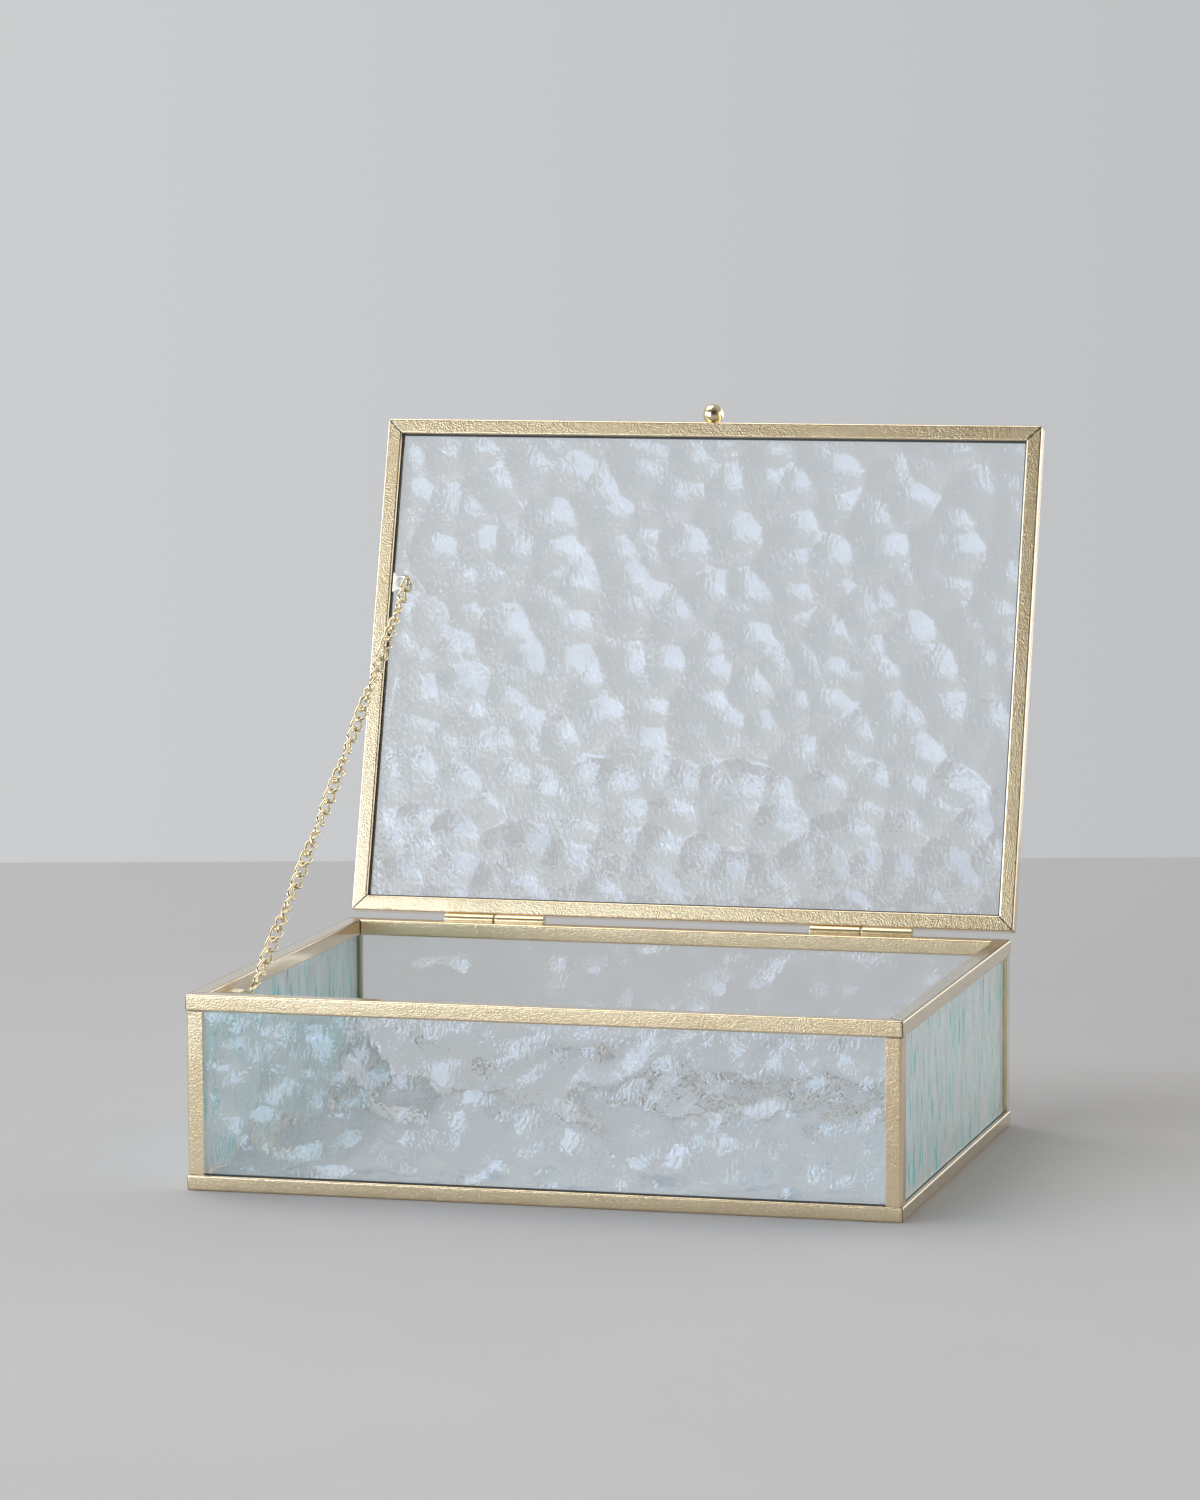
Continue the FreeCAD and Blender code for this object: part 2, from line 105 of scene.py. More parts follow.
def satin_gold(name, pale, deep, roughness, peel_depth):
    """Brass with a sprayed champagne-gold lacquer: a satin gleam with an orange-peel grain."""
    # The real grain is about half as wide; it is drawn coarser so that it shows
    PEEL_SIZE, CLOUD_SIZE = 0.4 * MM, 14 * MM
    GLEAM_SPREAD, PEEL_STRENGTH = 0.07, 0.6
    LACQUER_ROUGHNESS, LACQUER_IOR = 0.12, 2.2
    material, tree, output = new_material(name)
    place = add_node(tree, "ShaderNodeTexCoord").outputs["Object"]
    clouds = add_node(tree, "ShaderNodeTexNoise", {"Vector": place, "Scale": 1 / CLOUD_SIZE, "Detail": 3.0})
    colour = add_node(
        tree, "ShaderNodeMix", {"Factor": clouds.outputs["Fac"], "A": linear(pale), "B": linear(deep)},
        data_type="RGBA")
    peel = add_node(tree, "ShaderNodeTexNoise", {"Vector": place, "Scale": 1 / PEEL_SIZE, "Detail": 2.0})
    gleam = add_node(
        tree, "ShaderNodeMapRange",
        {"Value": peel.outputs["Fac"],
         "To Min": roughness - GLEAM_SPREAD, "To Max": roughness + GLEAM_SPREAD})
    bump = add_node(
        tree, "ShaderNodeBump",
        {"Height": peel.outputs["Fac"], "Strength": PEEL_STRENGTH, "Distance": peel_depth})
    shader = add_node(
        tree, "ShaderNodeBsdfPrincipled",
        {"Base Color": colour.outputs["Result"], "Metallic": 1.0, "Roughness": gleam.outputs["Result"],
         "Normal": bump.outputs["Normal"], "Coat Weight": 1.0, "Coat Roughness": LACQUER_ROUGHNESS,
         "Coat IOR": LACQUER_IOR})
    tree.links.new(shader.outputs["BSDF"], output.inputs["Surface"])
    return material


# Sprayed lacquer: pale champagne where the window falls on it, deeper gold away from it, with a fine grain
FRAME_GOLD = satin_gold("satin_gold_lacquer", "#EBD3A6", "#DBBD88", 0.17, 0.13 * MM)
# Solder gone brown in the joints: a thin dull line along each mitre
SEAM_BROWN = satin_gold("tarnished_solder_seam", "#5A4524", "#33240F", 0.5, 0.05 * MM)


def pick(obj):
    """Select one object alone and make it active."""
    bpy.ops.object.select_all(action="DESELECT")
    obj.select_set(True)
    bpy.context.view_layer.objects.active = obj
    return obj


def choose(kind, test):
    """In edit mode, select just the faces, edges or corners for which the test is true."""
    bpy.ops.mesh.select_mode(type=kind)
    mesh = bmesh.from_edit_mesh(bpy.context.object.data)
    bpy.ops.mesh.select_all(action="DESELECT")
    for part in {"FACE": mesh.faces, "EDGE": mesh.edges, "VERT": mesh.verts}[kind]:
        part.select_set(test(part))
    mesh.select_flush_mode()
    bmesh.update_edit_mesh(bpy.context.object.data)


def middle(part):
    """The middle of a face or an edge."""
    return sum((v.co for v in part.verts), Vector()) / len(part.verts)


def along(edge):
    """The direction of an edge."""
    return (edge.verts[1].co - edge.verts[0].co).normalized()


def slice_at(point, normal, **options):
    """In edit mode, cut the whole mesh with a plane."""
    bpy.ops.mesh.select_all(action="SELECT")
    bpy.ops.mesh.bisect(plane_co=point, plane_no=normal, threshold=CUT_SNAP, **options)


def plain_bar(name, length, outer, width, low, high, materials=(FRAME_GOLD, SEAM_BROWN)):
    """A bar along X with its outer face at y = -outer, left in edit mode."""
    bpy.ops.object.select_all(action="DESELECT")
    bpy.ops.mesh.primitive_cube_add(
        size=1, location=(0, width / 2 - outer, (low + high) / 2), scale=(length, width, high - low))
    bar = bpy.context.object
    bar.name = bar.data.name = name
    for material in materials:
        bar.data.materials.append(material)
    bpy.ops.object.transform_apply()
    bpy.ops.object.mode_set(mode="EDIT")
    return bar


def roll_corners(rounding, outer, inner_levels, outer_levels):
    """Round the frame's upright corner at each end, then the long corners at the given levels."""
    choose("EDGE", lambda e: abs(middle(e).y + outer) < TOUCH and abs(along(e).z) > 1 - STRAIGHT)
    bpy.ops.mesh.bevel(offset=rounding + CORNER_EXTRA, segments=CORNER_STEPS, affect="EDGES")
    inner = max(v.co.y for v in bmesh.from_edit_mesh(bpy.context.object.data).verts)
    choose("EDGE", lambda e: abs(along(e).z) < STRAIGHT and (
        min(abs(middle(e).z - level) for level in outer_levels) < TOUCH and middle(e).y < inner - TOUCH
        or min(abs(middle(e).z - level) for level in inner_levels) < TOUCH and middle(e).y > inner - TOUCH))
    bpy.ops.mesh.bevel(offset=rounding, segments=ROLL_STEPS, affect="EDGES")


def smooth(piece):
    """Shade rolled corners smooth while flat faces stay flat."""
    pick(piece)
    bpy.ops.object.shade_smooth_by_angle(angle=SMOOTH_ANGLE)
    even = piece.modifiers.new("even faces", "WEIGHTED_NORMAL")
    even.keep_sharp = True
    bpy.ops.object.modifier_apply(modifier="even faces")


def saw_mitres(bar, length, outer, side, shift=(0, 0, 0)):
    """Saw both ends at 45 degrees, file the cut edges, and turn the bar to its side of the frame."""
    for end in (-1, 1):
        slice_at((end * length / 2, -outer, 0), (end, 1, 0), clear_outer=True, use_fill=True)
    choose("EDGE", lambda e: any(
        abs(abs(f.normal.x) - abs(f.normal.y)) < STRAIGHT and abs(f.normal.y) > SLANTED
        and len(f.verts) > SAWN_CORNERS for f in e.link_faces))
    seam = len(bar.data.materials) - 1
    bpy.ops.mesh.bevel(offset=MITRE_SEAM, segments=SEAM_STEPS, affect="EDGES", material=seam)
    bpy.ops.object.mode_set(mode="OBJECT")
    pick(bar)
    bar.matrix_world = Matrix.Translation(shift) @ Matrix.Rotation(math.radians(SIDES[side]), 4, "Z")
    bpy.ops.object.transform_apply()
    smooth(bar)


def fit(piece, material, body, slot, *nodes):
    """Give a finished piece its material if it has none and its body, and hide the CAD nodes it stands for.
    The slot argument is not used.
    """
    if not piece.data.materials:
        piece.data.materials.append(material)
    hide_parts(*nodes)
    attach(piece, body)


def frame_side(side, width, depth):
    """How long a side of a frame is, and how far its outer face is from the middle."""
    return (width, depth / 2) if side in ("front", "back") else (depth, width / 2)


for side in SIDES:
    length, outer = frame_side(side, BOX_WIDTH, BOX_DEPTH)
    rail = plain_bar(f"bottom_rail_{side}", length, outer, RAIL_WIDTH, 0, BOTTOM_RAIL_HEIGHT)
    roll_corners(RAIL_ROUNDING, outer, [BOTTOM_RAIL_HEIGHT], [0, BOTTOM_RAIL_HEIGHT])
    slice_at((0, 0, LEDGE_HEIGHT), (0, 0, 1))
    choose("FACE", lambda f: f.normal.y > SQUARE_ON and middle(f).z < LEDGE_HEIGHT)
    bpy.ops.mesh.extrude_region_move(TRANSFORM_OT_translate={"value": (0, LEDGE_WIDTH, 0)})
    for inset in (GROOVE_OUTER, GROOVE_INNER):
        slice_at((0, inset - outer, 0), (0, 1, 0))
    choose("FACE", lambda f: f.normal.z > SQUARE_ON and GROOVE_OUTER < middle(f).y + outer < GROOVE_INNER
           and middle(f).z > LEDGE_HEIGHT)
    bpy.ops.mesh.extrude_region_move(TRANSFORM_OT_translate={"value": (0, 0, -GROOVE_DEPTH)})
    saw_mitres(rail, length, outer, side)
    fit(rail, FRAME_GOLD, "base", "gold_frame", f"base_bottom_rail_{side}")

# Top rails of the base: the same bar with its groove underneath, which takes the side glass's upper edge.
# The lid shuts down on their flat top faces.
TOP_RAIL_HEIGHT = 4.6 * MM
TOP_RAIL_UNDERSIDE = BASE_HEIGHT - TOP_RAIL_HEIGHT
for side in SIDES:
    length, outer = frame_side(side, BOX_WIDTH, BOX_DEPTH)
    rail = plain_bar(f"top_rail_{side}", length, outer, RAIL_WIDTH, TOP_RAIL_UNDERSIDE, BASE_HEIGHT)
    roll_corners(RAIL_ROUNDING, outer, [TOP_RAIL_UNDERSIDE, BASE_HEIGHT], [TOP_RAIL_UNDERSIDE, BASE_HEIGHT])
    for inset in (GROOVE_OUTER, GROOVE_INNER):
        slice_at((0, inset - outer, 0), (0, 1, 0))
    choose("FACE", lambda f: f.normal.z < -SQUARE_ON and GROOVE_OUTER < middle(f).y + outer < GROOVE_INNER)
    bpy.ops.mesh.extrude_region_move(TRANSFORM_OT_translate={"value": (0, 0, GROOVE_DEPTH)})
    saw_mitres(rail, length, outer, side)
    fit(rail, FRAME_GOLD, "base", "gold_frame", f"base_top_rail_{side}")

# Corner posts: strips of sheet brass folded to an angle round each corner of the glass.
# They stand between the two frames, a little inside the rails' outer faces, with a soft fold.
# A fine line shows at each end, where they are tacked to the rails.
POST_LEG, POST_WALL, POST_INSET, POST_FOLD, FOLD_STEPS = 4.6 * MM, 1.0 * MM, 0.3 * MM, 0.9 * MM, 6
SHEET_EDGE, SHEET_STEPS = 0.12 * MM, 2
POST_GAP = 0.15 * MM
post_height = TOP_RAIL_UNDERSIDE - BOTTOM_RAIL_HEIGHT - 2 * POST_GAP
post_middle = BOTTOM_RAIL_HEIGHT + POST_GAP + post_height / 2
for y_name, y_sign in (("front", -1), ("back", 1)):
    for x_name, x_sign in (("left", -1), ("right", 1)):
        bpy.ops.object.select_all(action="DESELECT")
        fold_x = x_sign * (BOX_WIDTH / 2 - POST_INSET)
        fold_y = y_sign * (BOX_DEPTH / 2 - POST_INSET)
        bpy.ops.mesh.primitive_plane_add(
            size=1, location=(fold_x - x_sign * POST_LEG / 2, fold_y, post_middle),
            rotation=(math.radians(90), 0, 0))
        post = bpy.context.object
        post.name = post.data.name = f"corner_post_{y_name}_{x_name}_angle"
        post.scale = (POST_LEG, post_height, 1)
        bpy.ops.object.transform_apply()
        bpy.ops.object.mode_set(mode="EDIT")
        choose("EDGE", lambda e: abs(middle(e).x - fold_x) < TOUCH)
        bpy.ops.mesh.extrude_region_move(TRANSFORM_OT_translate={"value": (0, -y_sign * POST_LEG, 0)})
        choose("EDGE", lambda e: abs(middle(e).x - fold_x) < TOUCH and abs(middle(e).y - fold_y) < TOUCH)
        bpy.ops.mesh.bevel(offset=POST_FOLD, segments=FOLD_STEPS, affect="EDGES")
        bpy.ops.mesh.select_all(action="SELECT")
        bpy.ops.mesh.normals_make_consistent(inside=False)
        bpy.ops.object.mode_set(mode="OBJECT")
        outward = Vector((x_sign, y_sign, 0))
        facing = sum(f.normal.dot(outward) * f.area for f in post.data.polygons)
        wall = post.modifiers.new("wall", "SOLIDIFY")
        wall.thickness, wall.offset, wall.use_even_offset = POST_WALL, -1 if facing > 0 else 1, True
        worn = post.modifiers.new("worn edges", "BEVEL")
        worn.width, worn.segments, worn.limit_method = SHEET_EDGE, SHEET_STEPS, "ANGLE"
        pick(post)
        for step in ("wall", "worn edges"):
            bpy.ops.object.modifier_apply(modifier=step)
        smooth(post)
        fit(post, FRAME_GOLD, "base", "gold_frame", f"corner_post_{y_name}_{x_name}")

# Panes of the base: clear rolled water glass, domed outside and wavy inside, with a faint sea-green colour.
# Their plain edges sit in the rails' grooves; the floor pane lies on the ledges.
GLASS_THICKNESS = 2.2 * MM
CELL_SIZE, CELL_MEAN = 11.5 * MM, 0.3
RIPPLE_SIZE = 8.0 * MM
GRID_STEP = 1.3 * MM
FLAT_MARGIN, RISE = 2.6 * MM, 4.0 * MM
STEP_X, STEP_Y, STEP_Z, FACE_STEP = 0.37, 0.53, 0.29, 0.71


def rippled_glass(name, glint_streak_colour, streak_size, clearness, body_colour, density, wavelet_depth):
    """Soda-lime glass rolled on a wavy table: it bends what is behind it and gleams in soft patches."""
    # Wavelets and streaks are about twice as wide as real ones, so that they show
    WAVELET_SIZE, WAVELET_STRENGTH, WAVELET_WARP = 1.2 * MM, 0.9, 0.6
    WAVELET_STRETCH, STREAK_STRETCH = (1, 1, 0.5), (1, 1, 0.12)
    STREAK_START, STREAK_FULL = 0.55, 0.68
    POLISH, GLASS_IOR = 0.02, 1.5
    material, tree, output = new_material(name)
    place = add_node(tree, "ShaderNodeTexCoord").outputs["Object"]
    upright = add_node(tree, "ShaderNodeMapping", {"Vector": place, "Scale": WAVELET_STRETCH})
    wavelets = add_node(
        tree, "ShaderNodeTexNoise",
        {"Vector": upright.outputs["Vector"], "Scale": 1 / WAVELET_SIZE, "Detail": 1.0,
         "Distortion": WAVELET_WARP})
    bump = add_node(
        tree, "ShaderNodeBump",
        {"Height": wavelets.outputs["Fac"], "Strength": WAVELET_STRENGTH, "Distance": wavelet_depth})
    # Where the streak colour is strong, as on the end and floor sheets, the streaks are painted sheen and
    # reflection; on the clear sheets they are all but white
    drawn_out = add_node(tree, "ShaderNodeMapping", {"Vector": place, "Scale": STREAK_STRETCH})
    streaks = add_node(
        tree, "ShaderNodeTexNoise",
        {"Vector": drawn_out.outputs["Vector"], "Scale": 1 / streak_size, "Detail": 1.0})
    share = add_node(
        tree, "ShaderNodeMapRange",
        {"Value": streaks.outputs["Fac"], "From Min": STREAK_START, "From Max": STREAK_FULL})
    tint = add_node(
        tree, "ShaderNodeMix",
        {"Factor": share.outputs["Result"], "A": linear("#FFFFFF"), "B": linear(glint_streak_colour)},
        data_type="RGBA")
    shader = add_node(
        tree, "ShaderNodeBsdfPrincipled",
        {"Base Color": tint.outputs["Result"], "Roughness": POLISH, "IOR": GLASS_IOR,
         "Transmission Weight": clearness, "Normal": bump.outputs["Normal"]})
    body = add_node(tree, "ShaderNodeVolumeAbsorption", {"Color": linear(body_colour), "Density": density})
    tree.links.new(shader.outputs["BSDF"], output.inputs["Surface"])
    tree.links.new(body.outputs["Volume"], output.inputs["Volume"])
    return material


# Clear glass of the back and the lid: soft bright blobs where its domes catch the window
WATER_GLASS = rippled_glass("rolled_water_glass", "#FDFFFF", 2.0 * MM, 0.93, "#4FE2F2", 13.0, 0.12 * MM)
# The front sheet, a little rougher: it breaks up what stands behind it
LONG_GLASS = rippled_glass(
    "rolled_water_glass_pebbled", "#FDFFFF", 2.0 * MM, 0.93, "#4FE2F2", 13.0, 0.14 * MM)
# The end sheets, which are seen along their faces: milky, with upright sea-green streaks that are painted
# sheen and reflection, for the light thick glass carries along inside itself when seen edge-on
END_GLASS_PAINTED_GLINTS = rippled_glass("water_glass_painted_edge_glints", "#5CE8E2", 2.0 * MM, 0.45, "#30E4DC", 60.0, 0.12 * MM)
# The floor sheet, which one looks along too: milky and bluish in soft patches, painted sheen and ripple
# shading for the bright room reflected in it
FLOOR_GLASS_PAINTED_SHEEN = rippled_glass("water_glass_painted_milky_sheen", "#D2E3EE", 9.0 * MM, 0.5, "#4FE2F2", 18.0, 0.2 * MM)


def ripple_pane(name, low, high, thin_axis, dome_side, cell_height, ripple_height, seed):
    """A sheet between two corners, thin along one axis, its two faces rolled into different waves."""
    low, high = Vector(low), Vector(high)
    flat = [axis for axis in range(3) if axis != thin_axis]
    size = high - low
    counts = [round(size[axis] / GRID_STEP) for axis in flat]
    bpy.ops.object.select_all(action="DESELECT")
    bpy.ops.mesh.primitive_grid_add(x_subdivisions=counts[0], y_subdivisions=counts[1], size=1)
    pane = bpy.context.object
    pane.name = pane.data.name = name
    columns = [Vector(), Vector(), Vector()]
    columns[0][flat[0]], columns[1][flat[1]], columns[2][thin_axis] = size[flat[0]], size[flat[1]], 1
    turn = Matrix(columns).transposed().to_4x4()
    pane.data.transform(Matrix.Translation((low + high) / 2) @ turn)
    wall = pane.modifiers.new("wall", "SOLIDIFY")
    wall.thickness, wall.offset = GLASS_THICKNESS, 0
    pick(pane)
    bpy.ops.object.modifier_apply(modifier="wall")
    centre = (low[thin_axis] + high[thin_axis]) / 2
    for face, sign in (("lower", -1), ("upper", 1)):
        group = pane.vertex_groups.new(name=face)
        for v in pane.data.vertices:
            if (v.co[thin_axis] - centre) * sign > 0:
                edge = min(min(v.co[axis] - low[axis], high[axis] - v.co[axis]) for axis in flat)
                weight = min(max((edge - FLAT_MARGIN) / RISE, 0), 1)
                group.add([v.index], weight * weight * (3 - 2 * weight), "REPLACE")
        domed = sign == dome_side
        waves = bpy.data.textures.new(f"{name}_{face}", "VORONOI" if domed else "CLOUDS")
        waves.noise_scale = CELL_SIZE if domed else RIPPLE_SIZE
        if domed:
            waves.distance_metric = "DISTANCE_SQUARED"
        else:
            waves.noise_depth = 0
        rolled = pane.modifiers.new(face, "DISPLACE")
        rolled.texture, rolled.texture_coords = waves, "OBJECT"
        anchor = bpy.data.objects.new("waves", None)
        anchor.location = (seed * STEP_X, seed * STEP_Y + sign * FACE_STEP, seed * STEP_Z)
        bpy.context.scene.collection.objects.link(anchor)
        bpy.context.view_layer.update()
        rolled.texture_coords_object = anchor
        rolled.direction, rolled.vertex_group = "XYZ"[thin_axis], face
        rolled.strength = -sign * cell_height if domed else ripple_height
        rolled.mid_level = CELL_MEAN if domed else 0.5
        bpy.ops.object.modifier_apply(modifier=face)
        bpy.data.objects.remove(anchor)
    pane.vertex_groups.clear()
    bpy.ops.object.shade_smooth_by_angle(angle=SMOOTH_ANGLE)
    return pane


# For each pane: its glass, its thin axis, the side of its domes, and the heights of its domes and waves
PANES = {
    "front": (LONG_GLASS, 1, -1, 1.5 * MM, 1.0 * MM),
    "back": (WATER_GLASS, 1, 1, 1.5 * MM, 0.6 * MM),
    "left": (END_GLASS_PAINTED_GLINTS, 0, -1, 0.9 * MM, 0.3 * MM),
    "right": (END_GLASS_PAINTED_GLINTS, 0, 1, 0.9 * MM, 0.3 * MM),
    "floor": (FLOOR_GLASS_PAINTED_SHEEN, 2, 1, 1.1 * MM, 0.3 * MM),
}
for number, (side, (glass, *shape)) in enumerate(PANES.items(), start=1):
    pane = ripple_pane(f"water_glass_{side}", *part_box(f"glass_{side}"), *shape, number)
    fit(pane, glass, "base", "rippled_glass", f"glass_{side}")

# Painted shadow lines: a thin near-black strip outside each upright pane, along the bottom rail's groove.
# It is painted shade, where the gap that the glass leaves in the groove lies in shadow.
STRIP_WIDTH, STRIP_ROUND, STRIP_STEPS, STRIP_TUCK = 0.35 * MM, 0.1 * MM, 3, 0.12 * MM
LONG_STRIP_HEIGHT, END_STRIP_HEIGHT = 0.4 * MM, 0.2 * MM
SPECKLE_SIZE, GAP_SHADE_ROUGHNESS = 0.6 * MM, 0.6
# Painted shade: matt near-black with a faint speckle, a fine dark outline at the foot of the glass
gap_shade, tree, output = new_material("painted_gap_shadow")
place = add_node(tree, "ShaderNodeTexCoord").outputs["Object"]
speckle = add_node(tree, "ShaderNodeTexNoise", {"Vector": place, "Scale": 1 / SPECKLE_SIZE, "Detail": 3.0})
shade = add_node(
    tree, "ShaderNodeMix",
    {"Factor": speckle.outputs["Fac"], "A": linear("#2B2C2C"), "B": linear("#45423A")}, data_type="RGBA")
shader = add_node(
    tree, "ShaderNodeBsdfPrincipled", {"Base Color": shade.outputs["Result"], "Roughness": GAP_SHADE_ROUGHNESS})
tree.links.new(shader.outputs["BSDF"], output.inputs["Surface"])


def gap_shade_strip(name, length, outer, low, high, edge, side, shift=(0, 0, 0)):
    """A painted shade strip along one side of a frame, with its free edge at the given place and level
    rounded.
    """
    shade_strip = plain_bar(name, length, outer, STRIP_WIDTH, low, high, [gap_shade])
    choose("EDGE", lambda e: abs(middle(e).y - edge[0]) < TOUCH and abs(middle(e).z - edge[1]) < TOUCH)
    bpy.ops.mesh.bevel(offset=STRIP_ROUND, segments=STRIP_STEPS, affect="EDGES")
    saw_mitres(shade_strip, length, outer, side, shift)
    return shade_strip


for side in SIDES:
    length, outer = frame_side(side, BOX_WIDTH, BOX_DEPTH)
    shade_strip_height = LONG_STRIP_HEIGHT if side in ("front", "back") else END_STRIP_HEIGHT
    shade_strip_top = BOTTOM_RAIL_HEIGHT + shade_strip_height
    reach = GROOVE_OUTER + STRIP_TUCK
    shade_strip = gap_shade_strip(
        f"painted_shadow_line_{side}", length - 2 * (POST_INSET + POST_LEG), outer - reach + STRIP_WIDTH,
        BOTTOM_RAIL_HEIGHT, shade_strip_top, (reach - STRIP_WIDTH - outer, shade_strip_top), side)
    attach(shade_strip, "base")

# Lid frame: four narrower bars, strongly rolled, with a slot in their inner edges for the lid glass.
# They are made as if the lid were shut, then swung open about the hinge pins to where the chain stops them.
LID_RAIL_WIDTH, LID_THICKNESS, LID_GAP, LID_SETBACK = 4.6 * MM, 5.2 * MM, 0.3 * MM, 1.0 * MM
LID_ROUNDING = 0.55 * MM
LID_LOW = BASE_HEIGHT + LID_GAP
LID_HIGH = LID_LOW + LID_THICKNESS
SLOT_LOW, SLOT_HIGH, SLOT_WEB = LID_LOW + 2.1 * MM, LID_LOW + 4.5 * MM, 1.6 * MM
LID_OPEN = math.radians(106.5)
HINGE_Y, HINGE_Z = 78.4 * MM, 55.15 * MM
hinge_line = Vector((0, HINGE_Y, HINGE_Z))
swing = Matrix.Translation(hinge_line) @ Matrix.Rotation(-LID_OPEN, 4, "X") @ Matrix.Translation(-hinge_line)


def swing_open(piece):
    """Turn a piece of the shut lid to where the open lid has it."""
    pick(piece)
    piece.matrix_world = swing @ piece.matrix_world
    bpy.ops.object.transform_apply()


lid_depth = BOX_DEPTH - LID_SETBACK
for side in SIDES:
    length, outer = frame_side(side, BOX_WIDTH, lid_depth)
    rail = plain_bar(f"lid_frame_{side}", length, outer, LID_RAIL_WIDTH, LID_LOW, LID_HIGH)
    roll_corners(LID_ROUNDING, outer, [LID_LOW, LID_HIGH], [LID_LOW, LID_HIGH])
    for level in (SLOT_LOW, SLOT_HIGH):
        slice_at((0, 0, level), (0, 0, 1))
    choose("FACE", lambda f: f.normal.y > SQUARE_ON and SLOT_LOW < middle(f).z < SLOT_HIGH)
    bpy.ops.mesh.extrude_region_move(TRANSFORM_OT_translate={"value": (0, SLOT_WEB - LID_RAIL_WIDTH, 0)})
    saw_mitres(rail, length, outer, side, (0, LID_SETBACK / 2, 0))
    swing_open(rail)
    fit(rail, FRAME_GOLD, "lid", "gold_frame", f"lid_rail_{side}")

# Lid glass: one pane of the same clear water glass, with its domes on the outer face.
# It is slid into the lid frame's slot before the last mitre is soldered.
LID_PANE_INSET, LID_PANE_LOW = 1.7 * MM, LID_LOW + 2.2 * MM
LID_DOMES, LID_WAVES, LID_SEED = 1.9 * MM, 0.3 * MM, 7
pane = ripple_pane(
    "water_glass_lid",
    (LID_PANE_INSET - BOX_WIDTH / 2, LID_SETBACK + LID_PANE_INSET - BOX_DEPTH / 2, LID_PANE_LOW),
    (BOX_WIDTH / 2 - LID_PANE_INSET, BOX_DEPTH / 2 - LID_PANE_INSET, LID_PANE_LOW + GLASS_THICKNESS),
    thin_axis=2, dome_side=1, cell_height=LID_DOMES, ripple_height=LID_WAVES, seed=LID_SEED)
swing_open(pane)
fit(pane, WATER_GLASS, "lid", "rippled_glass", "lid_glass")

# Painted shadow lines of the lid: the same near-black strip, on the side of the lid that faces the box.
# It lies between the lid glass and the frame's lip, as painted shade for the shadowed rebate there.
LID_STRIP_LIP, LID_STRIP_TUCK = 1.0 * MM, 0.02 * MM
for side in SIDES:
    length, outer = frame_side(side, BOX_WIDTH, lid_depth)
    low, high = LID_LOW + LID_STRIP_LIP, LID_PANE_LOW + LID_STRIP_TUCK
    shade_strip = gap_shade_strip(
        f"lid_cement_line_{side}", length - 2 * LID_RAIL_WIDTH, outer - LID_RAIL_WIDTH, low, high,
        (STRIP_WIDTH + LID_RAIL_WIDTH - outer, low), side, (0, LID_SETBACK / 2, 0))
    swing_open(shade_strip)
    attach(shade_strip, "lid")

# Hinges: brass tubes in line on one steel pin, each with a leaf soldered to the back of its rail.
# In each pair the left tube belongs to the lid and the right one to the base.
TUBE_RADIUS, BORE_RADIUS, TUBE_LENGTH, TUBE_GAP = 1.7 * MM, 0.84 * MM, 15.2 * MM, 0.5 * MM
LEAF_THICKNESS, LEAF_HEIGHT, RIM = 1.0 * MM, 4.0 * MM, 0.22 * MM
PIN_RADIUS, PIN_DOME = 0.8 * MM, 0.3 * MM
HINGE_MIDDLE = 56.2 * MM
RIM_STEPS, TUBE_STEPS, WIRE_SIDES, DOME_STEPS = 3, 40, 24, 4
DOME_ANGLE = math.radians(60)
# Drawn tube, rubbed by handling: smoother than the frame, with a bright line along each barrel
HINGE_GOLD = satin_gold("rolled_brass_tube", "#E6D0A2", "#C8A96C", 0.17, 0.03 * MM)


def hinge_tube(name, start, leaf_sign):
    """A tube on the hinge line from start, its rims filed round, with a leaf above or below it."""
    bpy.ops.object.select_all(action="DESELECT")
    bpy.ops.mesh.primitive_plane_add(
        size=1, location=(start + TUBE_LENGTH / 2, HINGE_Y, HINGE_Z + (TUBE_RADIUS + BORE_RADIUS) / 2),
        rotation=(math.radians(90), 0, 0))
    tube = bpy.context.object
    tube.name = tube.data.name = name
    tube.scale = (TUBE_LENGTH, TUBE_RADIUS - BORE_RADIUS, 1)
    bpy.ops.object.transform_apply()
    bpy.ops.object.mode_set(mode="EDIT")
    bpy.ops.mesh.select_all(action="SELECT")
    bpy.ops.mesh.bevel(offset=RIM, segments=RIM_STEPS, affect="VERTICES")
    bpy.ops.mesh.delete(type="ONLY_FACE")
    bpy.ops.mesh.select_all(action="SELECT")
    bpy.ops.mesh.spin(steps=TUBE_STEPS, angle=math.radians(360), center=hinge_line, axis=(1, 0, 0))
    bpy.ops.mesh.select_all(action="SELECT")
    bpy.ops.mesh.remove_doubles(threshold=TOUCH)
    bpy.ops.mesh.normals_make_consistent(inside=False)
    bpy.ops.object.mode_set(mode="OBJECT")
    back = BOX_DEPTH / 2
    bpy.ops.mesh.primitive_cube_add(
        size=1, scale=(TUBE_LENGTH, LEAF_THICKNESS, LEAF_HEIGHT - BORE_RADIUS),
        location=(start + TUBE_LENGTH / 2, back + LEAF_THICKNESS / 2,
                  HINGE_Z + leaf_sign * (LEAF_HEIGHT + BORE_RADIUS) / 2))
    leaf = bpy.context.object
    bpy.ops.object.transform_apply()
    filed = leaf.modifiers.new("filed edges", "BEVEL")
    filed.width, filed.segments = SHEET_EDGE, SHEET_STEPS
    bpy.ops.object.modifier_apply(modifier="filed edges")
    soldered = tube.modifiers.new("soldered leaf", "BOOLEAN")
    soldered.operation, soldered.solver, soldered.object = "UNION", "EXACT", leaf
    pick(tube)
    bpy.ops.object.modifier_apply(modifier="soldered leaf")
    bpy.data.objects.remove(leaf)
    smooth(tube)
    return tube


